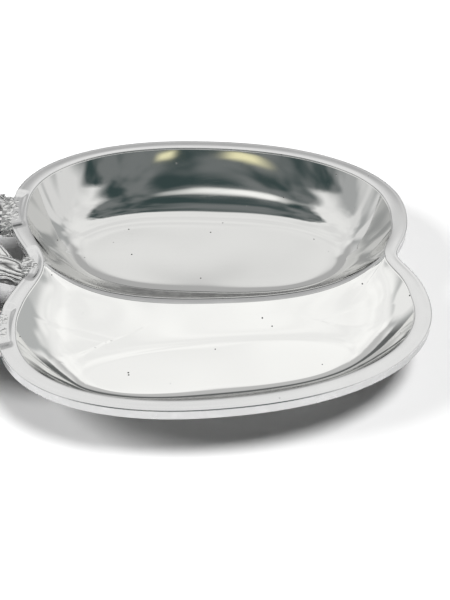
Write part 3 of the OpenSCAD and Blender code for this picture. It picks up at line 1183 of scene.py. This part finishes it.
def foot_path(sheet: NodeSheet, entry: bpy.types.Node, steps: int = 360) -> bpy.types.NodeSocket:
    """Adds a superellipse.

    Args:
        sheet: the tree's nodes.
        entry: its input node, with the sizes.
        steps: how many points it has.

    Returns:
        The closed curve.
    """
    circle = sheet.add("GeometryNodeCurvePrimitiveCircle")
    circle.inputs["Resolution"].default_value = steps
    place = sheet.add("ShaderNodeSeparateXYZ")
    sheet.join(sheet.add("GeometryNodeInputPosition").outputs[0], place.inputs[0])
    power = sheet.math("DIVIDE", 2.0, entry.outputs["Squareness"])
    bent = sheet.add("ShaderNodeCombineXYZ")
    for axis, label in ((0, "Half Length"), (1, "Half Width")):
        size = sheet.math("POWER", sheet.math("ABSOLUTE", place.outputs[axis]), power)
        size = sheet.math("MULTIPLY", size, sheet.math("SIGN", place.outputs[axis]))
        sheet.join(sheet.math("MULTIPLY", size, entry.outputs[label]), bent.inputs[axis])
    shaped = sheet.add("GeometryNodeSetPosition")
    sheet.join(circle.outputs[0], shaped.inputs["Geometry"])
    sheet.join(bent.outputs[0], shaped.inputs["Position"])
    return shaped.outputs[0]


def foot_bar(sheet: NodeSheet, entry: bpy.types.Node, corner_steps: int = 5) -> bpy.types.NodeSocket:
    """Adds a bar's section with rounded corners.

    Args:
        sheet: the tree's nodes.
        entry: its input node, with the sizes.
        corner_steps: how many points each corner has.

    Returns:
        The closed curve.
    """
    bar = sheet.add("GeometryNodeCurvePrimitiveQuadrilateral")
    sheet.join(entry.outputs["Bar Width"], bar.inputs["Width"])
    sheet.join(entry.outputs["Bar Height"], bar.inputs["Height"])
    rounded = sheet.add("GeometryNodeFilletCurve", mode="POLY")
    sheet.join(bar.outputs[0], rounded.inputs[0])
    rounded.inputs["Count"].default_value = corner_steps
    sheet.join(entry.outputs["Edge"], rounded.inputs["Radius"])
    return rounded.outputs[0]


def foot_tree() -> bpy.types.NodeTree:
    """Makes the tree that runs a rounded bar round a superellipse.

    Returns:
        The tree.
    """
    tree = new_tree("foot_ring", [("Half Length", "Float"), ("Half Width", "Float"),
                                  ("Squareness", "Float"), ("Bar Width", "Float"),
                                  ("Bar Height", "Float"), ("Edge", "Float"), ("Tilt", "Float"),
                                  ("Middle", "Vector"), ("Material", "Material")])
    sheet = NodeSheet(tree)
    entry = sheet.add("NodeGroupInput")
    solid = sheet.add("GeometryNodeCurveToMesh")
    sheet.join(foot_path(sheet, entry), solid.inputs[0])
    sheet.join(foot_bar(sheet, entry), solid.inputs[1])
    turn = sheet.add("ShaderNodeCombineXYZ")
    sheet.join(entry.outputs["Tilt"], turn.inputs[2])
    placed = sheet.add("GeometryNodeTransform")
    sheet.join(solid.outputs[0], placed.inputs["Geometry"])
    sheet.join(entry.outputs["Middle"], placed.inputs["Translation"])
    sheet.join(turn.outputs[0], placed.inputs["Rotation"])
    smooth = sheet.add("GeometryNodeSetShadeSmooth")
    sheet.join(placed.outputs[0], smooth.inputs[0])
    end_tree(sheet, smooth.outputs[0], entry)
    return tree


# ---------------------------------------------------------------- foot rings

@dataclass
class FootRing:
    """A low ring under a bowl's floor."""

    name: str
    node: str
    half_length: float
    half_width: float
    tilt: float
    middle: tuple[float, float]
    height: float
    bar_width: float = 4.5 * MM
    edge: float = 0.7 * MM
    squareness: float = 2.2

    def piece(self, tree: bpy.types.NodeTree) -> bpy.types.Object:
        """Builds the ring.

        Args:
            tree: the foot ring's tree.

        Returns:
            The finished piece.
        """
        base = bpy.data.objects.new(self.name, bpy.data.meshes.new(self.name))
        bpy.context.scene.collection.objects.link(base)
        ring = grow(base, tree, {
            "Half Length": self.half_length - self.bar_width / 2,
            "Half Width": self.half_width - self.bar_width / 2,
            "Squareness": self.squareness, "Bar Width": self.bar_width,
            "Bar Height": self.height, "Edge": self.edge, "Tilt": self.tilt,
            "Middle": (*self.middle, self.height / 2), "Material": Finish.FOOT.material()})
        return dress(ring, Finish.FOOT, self.node)


# ---------------------------------------------------------------- handle

@dataclass(frozen=True)
class Bark:
    """How one branch's bark is cut: grooves round it, their twist along it and their depth."""

    ridges: float
    twist: float
    depth: float = 0.85 * MM
    waviness: float = 4.4
    wave_scale: float = 60.0

    def values(self) -> dict[str, float]:
        """Values for the bark tree's inputs."""
        return {"Ridges": self.ridges, "Twist": self.twist, "Depth": self.depth,
                "Waviness": self.waviness, "Wave Scale": self.wave_scale}


@dataclass
class Sweep:
    """A smooth branch: a section at each point of a centre line, with its own size and height."""

    centre: np.ndarray
    out: np.ndarray
    half: np.ndarray
    thick: np.ndarray
    middle_z: np.ndarray
    along: np.ndarray

    @classmethod
    def spanning(cls, left: np.ndarray, right: np.ndarray, thick: np.ndarray,
                 middle_z: np.ndarray, along: np.ndarray) -> "Sweep":
        """Makes the branch that fills the space between two plan edges.

        Args:
            left: plan points of one edge.
            right: plan points of the other edge.
            thick: half thicknesses.
            middle_z: heights of the sections' middles.
            along: lengths that the grooves' twist follows.

        Returns:
            The branch.
        """
        span = right - left
        width = np.linalg.norm(span, axis=1)
        return cls((left + right) / 2, span / width[:, None], width / 2, thick, middle_z, along)

    def rings(self, section: np.ndarray) -> np.ndarray:
        """Places a section along the branch.

        Args:
            section: its points, for a half width and a half thickness of 1.

        Returns:
            Points by section and by place round it.
        """
        sideways = section[:, 0] * self.half[:, None]
        plan = self.centre[:, None] + self.out[:, None] * sideways[..., None]
        return lifted(plan, self.middle_z[:, None] + section[:, 1] * self.thick[:, None])

    def outward(self, section: np.ndarray, power: float) -> np.ndarray:
        """Works out which way the surface faces.

        Args:
            section: the section's points.
            power: the power of its superellipse.

        Returns:
            A unit vector for each point of the rings.
        """
        normal = signed_pow(section, power - 1)
        flat = normal[:, 0] / self.half[:, None]
        high = normal[:, 1] / self.thick[:, None]
        size = np.hypot(flat, high)
        sideways = self.out[:, None] * (flat / size)[..., None]
        return np.concatenate([sideways, (high / size)[..., None]], axis=-1)


@dataclass
class Handle:
    """The openwork handle: a bowed branch, a branch and a twig inside it, and their seats."""

    plan: DishPlan
    spread: float = 41.5 * MM
    grip_half: float = 9.5 * MM
    branch_half: float = 14 * MM
    grip_thick: float = 6 * MM
    branch_thick: float = 5 * MM
    drop: float = 0.5 * MM
    bow_power: float = 2.6
    bow_steps: int = 4001
    bow_bark: Bark = Bark(12, 190)
    section_power: float = 2.5
    grip_angle: float = math.radians(42)
    ring_spacing: float = 0.24 * MM
    around_steps: int = 260
    middle_bark: Bark = Bark(13, 25)
    middle_steps: int = 190
    middle_root: tuple[float, float] = (-2 * MM, 7 * MM)
    middle_tip: float = math.radians(5.6)
    middle_bend: tuple[float, float] = (5 * MM, 1.5 * MM)
    middle_thick: tuple[float, float] = (5 * MM, 3 * MM)
    middle_sink: tuple[float, float] = (5 * MM, 6 * MM)
    twig_bark: Bark = Bark(10, 60, 0.7 * MM)
    twig_steps: int = 120
    twig_root: tuple[float, float] = (0.10, 0.38)
    twig_tip: tuple[float, float] = (math.radians(87), math.radians(72))
    twig_waist: float = 0.24
    twig_thick: tuple[float, float] = (2.5 * MM, 4 * MM)
    twig_sink: float = 5 * MM
    twig_length: float = 20 * MM
    seat_steps: int = 26
    seat_power: float = 3.2
    seat_lap: float = 4.2 * MM
    lap_thickness: float = 1.2 * MM
    pebble_spacing: float = 1.7 * MM
    pebble_depth: float = 0.5 * MM
    seed: float = 4.0
    bark: bpy.types.NodeTree = field(init=False)
    pebbles: bpy.types.NodeTree = field(init=False)

    def __post_init__(self) -> None:
        """Reads the handle's places from the CAD parts, lays out the bow and makes the trees."""
        self.seat_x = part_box("rear_branch")[1].x
        self.middle_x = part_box("middle_branch")[1].x
        self.reach = self.seat_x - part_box("grip")[0].x - self.grip_half
        self.top = self.plan.rim_top - self.drop
        self.bark, self.pebbles = bark_tree(), pebble_tree()
        self.bow_angle = np.linspace(math.pi / 2, -math.pi / 2, self.bow_steps)
        curve = superellipse((-self.reach, self.spread), self.bow_power, self.bow_angle)
        self.bow = curve + np.array([self.seat_x, 0])
        step = np.gradient(self.bow, axis=0)
        tangent = step / np.linalg.norm(step, axis=1, keepdims=True)
        self.bow_out = np.stack([tangent[:, 1], -tangent[:, 0]], axis=1)
        self.bow_length = lengths_along(self.bow)

    def _bow_at(self, length: np.ndarray) -> tuple[np.ndarray, np.ndarray, np.ndarray, np.ndarray]:
        """Reads the bow off its dense layout.

        Args:
            length: lengths along it.

        Returns:
            Centre points, outward normals, half widths and shares of the branch's size there.
        """
        pick = [np.interp(length, self.bow_length, values)
                for values in (*self.bow.T, *self.bow_out.T, self.bow_angle)]
        out = np.stack(pick[2:4], axis=1)
        out /= np.linalg.norm(out, axis=1, keepdims=True)
        share = np.sin(pick[4]) ** 2
        half = mix(self.grip_half, self.branch_half, share)
        return np.stack(pick[:2], axis=1), out, half, share

    def _length_at(self, angle: np.ndarray) -> np.ndarray:
        """Lengths along the bow at angles."""
        return np.interp(-angle, -self.bow_angle, self.bow_length)

    def _bow_side(self, angle: np.ndarray) -> np.ndarray:
        """Plan points on the bow's inner edge at angles."""
        centre, out, half, _ = self._bow_at(self._length_at(angle))
        return centre - out * half[:, None]

    def _branch(self, name: str, node: str, sweep: Sweep, bark: Bark) -> bpy.types.Object:
        """Builds one branch and cuts its bark.

        Args:
            name: the piece's name.
            node: the CAD node that it stands for.
            sweep: the smooth branch.
            bark: how its bark is cut.

        Returns:
            The finished piece.
        """
        share = np.linspace(0, 1, self.around_steps, endpoint=False)
        section = superellipse((1, 1), self.section_power, 2 * math.pi * share)
        rings = sweep.rings(section)
        size = rings.shape[:2]
        base = build_mesh(name, rings, capped_faces(*size))
        add_values(base, "around", np.broadcast_to(share, size))
        add_values(base, "along", np.broadcast_to(sweep.along[:, None], size))
        add_outward(base, sweep.outward(section, self.section_power))
        piece = grow(base, self.bark, {**bark.values(), "Seed": self.seed,
                                       "Material": Finish.BARK.material()})
        crisp_ends(piece)
        return dress(piece, Finish.BARK, node)

    def bow_part(self, name: str, node: str, start: float, end: float) -> bpy.types.Object:
        """Builds the part of the bow between two angles.

        Args:
            name: the piece's name.
            node: the CAD node that it stands for.
            start: angle at its first end, in radians.
            end: angle at its last end.

        Returns:
            The finished piece.
        """
        first, last = self._length_at(np.array([start, end]))
        along = np.linspace(first, last, round((last - first) / self.ring_spacing))
        centre, out, half, share = self._bow_at(along)
        thick = mix(self.grip_thick, self.branch_thick, share)
        sweep = Sweep(centre, out, half, thick, self.top - thick, along)
        return self._branch(name, node, sweep, self.bow_bark)

    def middle(self) -> bpy.types.Object:
        """Builds the branch from the notch to the grip.

        Returns:
            The finished piece.
        """
        u = np.linspace(0, 1, self.middle_steps)
        left, right = self._middle_edge(u, -1), self._middle_edge(u, 1)
        sweep = Sweep.spanning(left, right, mix(*self.middle_thick, u ** 2),
                               self.top - mix(*self.middle_sink, u ** 2),
                               lengths_along((left + right) / 2))
        return self._branch("middle_branch_bark", "middle_branch", sweep, self.middle_bark)

    def _middle_edge(self, u: np.ndarray, side: int) -> np.ndarray:
        """Lays out one edge of the middle branch.

        Args:
            u: shares of the way from the notch to the grip.
            side: 1 for the rear edge, -1 for the front edge.

        Returns:
            Plan points.
        """
        root_y, root_half = self.middle_root
        bend, bend_extra = self.middle_bend
        root = np.array([self.middle_x, root_y + root_half * side])
        tip = self._bow_side(np.array([self.middle_tip * side]))
        bow = np.stack([np.zeros_like(u), np.sin(math.pi * u) * (bend + bend_extra * side)], axis=1)
        return mix(root, tip, u[:, None]) + bow

    def twig(self) -> bpy.types.Object:
        """Builds the twig that forks from the middle branch to the rear branch.

        Returns:
            The finished piece.
        """
        u = np.linspace(0, 1, self.twig_steps)
        swell = np.sin(math.pi * u)
        edges = []
        for side in (-1, 1):
            share = (1 + side * (1 - self.twig_waist * swell)) / 2
            root = self._middle_edge(mix(*self.twig_root, share), 1)
            tip = self._bow_side(mix(*self.twig_tip, share))
            edges.append(mix(root, tip, u[:, None]))
        sweep = Sweep.spanning(*edges, mix(*self.twig_thick, swell),
                               np.full(len(u), self.top - self.twig_sink), self.twig_length * u)
        return self._branch("fork_twig_bark", "fork_twig", sweep, self.twig_bark)

    def seat(self, name: str, node: str) -> bpy.types.Object:
        """Builds a pebbled collar between the rim and a branch, with a lap over the rim.

        Args:
            name: the piece's name.
            node: the CAD node that it stands for.

        Returns:
            The finished piece.
        """
        low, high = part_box(node)
        turn = np.linspace(0, 2 * math.pi, self.around_steps, endpoint=False)
        section = superellipse(((high.y - low.y) / 2, (high.z - low.z) / 2), self.seat_power, turn)
        y, z = (low.y + high.y) / 2 + section[:, 0], (low.z + high.z) / 2 + section[:, 1]
        edge = self.plan.outline[self.plan.outline[:, 0] < 0]
        edge = edge[np.argsort(edge[:, 1])]
        rim_x = np.interp(y, edge[:, 1], edge[:, 0])
        lap = np.linspace(self.seat_lap, 0, self.seat_steps)[:-1, None]
        x = np.concatenate([rim_x + lap, mix(rim_x, low.x, np.linspace(0, 1, self.seat_steps)[:, None])])
        lapped = (np.arange(len(x)) < len(lap))[:, None]
        z = np.where(lapped, np.maximum(z, high.z - self.lap_thickness), z)
        rings = np.stack(np.broadcast_arrays(x, y, z), axis=-1)
        base = build_mesh(name, rings, capped_faces(*rings.shape[:2]))
        out = np.stack([np.zeros_like(turn), np.cos(turn), np.sin(turn)], axis=1)
        add_outward(base, np.broadcast_to(out, rings.shape))
        piece = grow(base, self.pebbles, {"Spacing": self.pebble_spacing, "Depth": self.pebble_depth,
                                          "Seed": self.seed, "Material": Finish.SEAT.material()})
        crisp_ends(piece)
        return dress(piece, Finish.SEAT, node)

    def build(self) -> None:
        """Builds every piece of the handle."""
        quarter = math.pi / 2
        self.bow_part("rear_branch_bark", "rear_branch", quarter, self.grip_angle)
        self.bow_part("grip_bark", "grip", self.grip_angle, -self.grip_angle)
        self.bow_part("front_branch_bark", "front_branch", -self.grip_angle, -quarter)
        self.middle()
        self.twig()
        for seat in SEATS:
            self.seat(f"{seat}_pebbled", seat)


def crisp_ends(piece: bpy.types.Object) -> None:
    """Marks the edges of a branch's flat ends as sharp, so that they don't shade its sides.

    Args:
        piece: the branch, whose only faces with more than four corners are its ends.
    """
    ends = {tuple(sorted(key)) for face in piece.data.polygons if len(face.vertices) > 4
            for key in face.edge_keys}
    for edge in piece.data.edges:
        if tuple(sorted(edge.vertices)) in ends:
            edge.use_edge_sharp = True


# ---------------------------------------------------------------- studio

@dataclass(frozen=True)
class RoomPatch:
    """A rounded, soft-edged area of the room, placed by sideways and forward reach over height.

    A patch without a colour of its own takes the room's mottled gloom.
    """

    middle: tuple[float, float]
    half: tuple[float, float]
    soft: float = 0.13
    colour: Colour | None = None
    power: float = 3.5

    def share(self, sheet: NodeSheet, right: bpy.types.NodeSocket,
              ahead: bpy.types.NodeSocket) -> bpy.types.NodeSocket:
        """Finds out what lies in the patch.

        Args:
            sheet: the room's nodes.
            right: the sideways reach.
            ahead: the forward reach.

        Returns:
            A value that is 1 inside the patch.
        """
        sides = []
        for place, middle, half in zip((right, ahead), self.middle, self.half):
            away = sheet.math("DIVIDE", sheet.math("SUBTRACT", place, middle), half)
            sides.append(sheet.math("POWER", sheet.math("ABSOLUTE", away), self.power))
        radius = sheet.math("POWER", sheet.math("ADD", *sides), 1 / self.power)
        return sheet.between(radius, 1 + self.soft, 1 - self.soft)


@dataclass(frozen=True)
class Room:
    """The pale room that the dish mirrors: a ceiling, grey walls and a dark end behind.

    A pair of colours is mottled. A pair of numbers is where an area starts and is complete.
    """

    ceiling: tuple[Colour, Colour] = ((0.85, 0.85, 0.845), (0.96, 0.96, 0.95))
    far_wall: Colour = (0.50, 0.50, 0.50)
    far_wall_reach: tuple[float, float] = (0.96, 1.22)
    side_walls: tuple[Colour, Colour] = ((0.44, 0.45, 0.45), (0.82, 0.82, 0.815))
    side_wall_reach: tuple[float, float] = (0.6, 1.4)
    side_wall_shift: float = 0.1
    dark_end: Colour = (0.12, 0.125, 0.125)
    dark_end_reach: tuple[float, float] = (2.2, 3.0)
    dark_end_spread: tuple[float, float] = (0.9, 0.5)
    gloom: tuple[Colour, Colour] = ((0.045, 0.07, 0.07), (0.20, 0.215, 0.215))
    sway: tuple[float, float] = (0.30, 0.16)
    fill: float = 0.01
    patches: tuple[RoomPatch, ...] = (
        RoomPatch((0.03, -0.42), (0.48, 0.30), 0.12), RoomPatch((-0.06, -0.90), (0.64, 0.28), 0.22),
        RoomPatch((-0.62, -1.22), (0.88, 0.25), 0.22), RoomPatch((0.62, -1.24), (0.46, 0.24), 0.22),
        RoomPatch((0.0, -2.70), (2.2, 1.45)),
        RoomPatch((-0.15, -0.655), (0.17, 0.055), 0.6, (1.15, 1.15, 1.12)),
        RoomPatch((0.12, -1.20), (0.055, 0.045), 0.8, (1.1, 1.04, 0.66)),
        RoomPatch((-0.27, -1.18), (0.09, 0.05), 0.8, (1.05, 0.99, 0.62)))

    def build(self) -> None:
        """Makes the world that holds the room."""
        world = bpy.data.worlds.new("pale_room")
        bpy.context.scene.world = world
        world.use_nodes = True
        sheet = NodeSheet(world.node_tree)
        direction = sheet.add("ShaderNodeTexCoord").outputs["Generated"]
        right, ahead = self._reach(sheet, direction)
        colour = self._walls(sheet, direction, right, ahead)
        mottle = sheet.between(sheet.noise(direction, 6.0), 0.35, 0.65)
        gloom = sheet.blend_colour(mottle, *self.gloom)
        for patch in self.patches:
            colour = sheet.blend_colour(patch.share(sheet, right, ahead), colour,
                                        patch.colour or gloom)
        background = sheet.add("ShaderNodeBackground")
        sheet.join(colour, background.inputs["Color"])
        diffuse = sheet.add("ShaderNodeLightPath").outputs["Is Diffuse Ray"]
        sheet.join(sheet.between(diffuse, 0, 1, 1.0, self.fill), background.inputs["Strength"])
        sheet.join(background.outputs[0], sheet.add("ShaderNodeOutputWorld").inputs[0])
        bpy.context.scene.view_settings.view_transform = "Standard"

    def _reach(self, sheet: NodeSheet, direction: bpy.types.NodeSocket) -> tuple:
        """Works out where a direction meets the room, with a slight sway in its straight lines.

        Args:
            sheet: the world's nodes.
            direction: the direction.

        Returns:
            The sideways and the forward reach over height.
        """
        axes = sheet.add("ShaderNodeSeparateXYZ")
        sheet.join(direction, axes.inputs[0])
        up = sheet.math("MAXIMUM", axes.outputs[2], 0.02)
        reach = []
        for axis, scale in ((0, 4.0), (1, 5.0)):
            away = sheet.math("DIVIDE", axes.outputs[axis], up)
            drift = sheet.math("SUBTRACT", sheet.noise(direction, scale), 0.5)
            drift = sheet.math("MULTIPLY", drift, self.sway[axis])
            reach.append(sheet.math("ADD", away, drift))
        return tuple(reach)

    def _walls(self, sheet: NodeSheet, direction: bpy.types.NodeSocket,
               right: bpy.types.NodeSocket, ahead: bpy.types.NodeSocket) -> bpy.types.NodeSocket:
        """Colours the ceiling, the walls and the dark end.

        Args:
            sheet: the world's nodes.
            direction: the direction, for the mottling.
            right: the sideways reach.
            ahead: the forward reach.

        Returns:
            The colour.
        """
        cloud = sheet.between(sheet.noise(direction, 3.0), 0.35, 0.6)
        colour = sheet.blend_colour(cloud, *self.ceiling)
        far = sheet.between(ahead, *self.far_wall_reach)
        colour = sheet.blend_colour(far, colour, self.far_wall)
        streaks = sheet.noise(sheet.stretched(direction, (3.4, 3.4, 0.8)), 1.0, 1)
        sides = sheet.blend_colour(sheet.between(streaks, 0.38, 0.60), *self.side_walls)
        wide = sheet.math("ABSOLUTE", sheet.math("ADD", right, self.side_wall_shift))
        colour = sheet.blend_colour(sheet.between(wide, *self.side_wall_reach), colour, sides)
        narrow = sheet.between(sheet.math("DIVIDE", wide, ahead), *self.dark_end_spread)
        end = sheet.math("MULTIPLY", sheet.between(ahead, *self.dark_end_reach), narrow)
        return sheet.blend_colour(end, colour, self.dark_end)


@dataclass(frozen=True)
class Lamp:
    """A round soft lamp that faces the dish and isn't mirrored in it."""

    name: str
    place: tuple[float, float, float]
    energy: float
    size: float = 0.75

    def hang(self, centre: Vector) -> None:
        """Hangs the lamp.

        Args:
            centre: the dish's middle, which its place is measured from.
        """
        data = bpy.data.lights.new(self.name, "AREA")
        data.shape = "DISK"
        data.size = self.size
        data.energy = self.energy
        lamp = bpy.data.objects.new(self.name, data)
        aim = Vector(self.place).to_track_quat("Z", "Y")
        offset = Matrix.Translation(centre + Vector(self.place))
        lamp.matrix_world = offset @ aim.to_matrix().to_4x4()
        lamp.visible_glossy = False
        bpy.context.scene.collection.objects.link(lamp)


@dataclass
class Studio:
    """Camera, pale floor and soft lamps round the dish."""

    centre: Vector
    lens: float = 64.8
    near_clip: float = 0.01
    camera_from_lobes: tuple[float, float, float] = (-27.10 * MM, -372.38 * MM, 362.69 * MM)
    view_right: tuple[float, float, float] = (0.99774, -0.06182, 0.02638)
    view_up: tuple[float, float, float] = (0.02658, 0.72344, 0.68987)
    view_back: tuple[float, float, float] = (-0.06173, -0.68761, 0.72345)
    floor_half: float = 3.0
    floor_colour: Colour = (0.93, 0.93, 0.93)
    floor_roughness: float = 0.7
    lamps: tuple[Lamp, ...] = (Lamp("top_lamp", (0.55, -0.23, 2.00), 40.0),
                               Lamp("side_lamp", (-1.40, -0.10, 1.25), 24.0))

    def camera(self) -> None:
        """Sets the camera up, looking down at the dish from the shallow bowl's side."""
        data = bpy.data.cameras.new("camera")
        data.lens = self.lens
        data.clip_start = self.near_clip
        camera = bpy.data.objects.new("camera", data)
        axes = Matrix((self.view_right, self.view_up, self.view_back)).transposed()
        place = self.centre + Vector(self.camera_from_lobes)
        camera.matrix_world = Matrix.Translation(place) @ axes.to_4x4()
        bpy.context.scene.collection.objects.link(camera)
        bpy.context.scene.camera = camera

    def floor(self) -> None:
        """Lays the plain pale floor."""
        mesh = bpy.data.meshes.new("floor")
        half = self.floor_half
        mesh.from_pydata([(-half, -half, 0), (half, -half, 0), (half, half, 0), (-half, half, 0)],
                         [], [(0, 1, 2, 3)])
        floor = bpy.data.objects.new("floor", mesh)
        material = bpy.data.materials.new("pale_floor")
        material.use_nodes = True
        shader = material.node_tree.nodes["Principled BSDF"]
        shader.inputs["Base Color"].default_value = (*self.floor_colour, 1)
        shader.inputs["Roughness"].default_value = self.floor_roughness
        floor.data.materials.append(material)
        bpy.context.scene.collection.objects.link(floor)

    def build(self) -> None:
        """Sets up the camera, the floor and the lamps."""
        self.camera()
        self.floor()
        for lamp in self.lamps:
            lamp.hang(self.centre)


def main() -> None:
    """Builds the dish piece by piece, then the studio and the room."""
    logging.basicConfig(level=logging.INFO, format="%(name)s: %(message)s")
    plan = DishPlan()
    rim = Rim(plan)
    rim.band()
    rim.divider()
    deep = Bowl(plan, "rear_bowl_polished", "rear_bowl", rear=True, depth=26 * MM,
                centre_y=29 * MM, floor_half=(64 * MM, 25 * MM), floor_squareness=2.6,
                divider_power=1.5, crease_shade_strength=1.0)
    shallow = Bowl(plan, "front_bowl_polished", "front_bowl", rear=False, depth=16.5 * MM,
                   centre_y=-54 * MM, floor_half=(62 * MM, 15 * MM), floor_squareness=2.4,
                   divider_power=1.1, crease_shade_strength=0.45)
    deep.piece()
    shallow.piece()
    Handle(plan).build()
    tree = foot_tree()
    inset = 2 * MM
    for bowl, node, height in ((deep, "rear_foot_ring", 3 * MM),
                               (shallow, "front_foot_ring", 12.5 * MM)):
        length, width = bowl.floor_half
        FootRing(f"{node}_satin", node, half_length=length - inset, half_width=width - inset,
                 tilt=bowl.tilt, middle=(plan.shift, bowl.centre_y), height=height).piece(tree)
    Studio(Vector((plan.shift, 0, plan.rim_top))).build()
    Room().build()


if __name__ == "__main__":
    main()
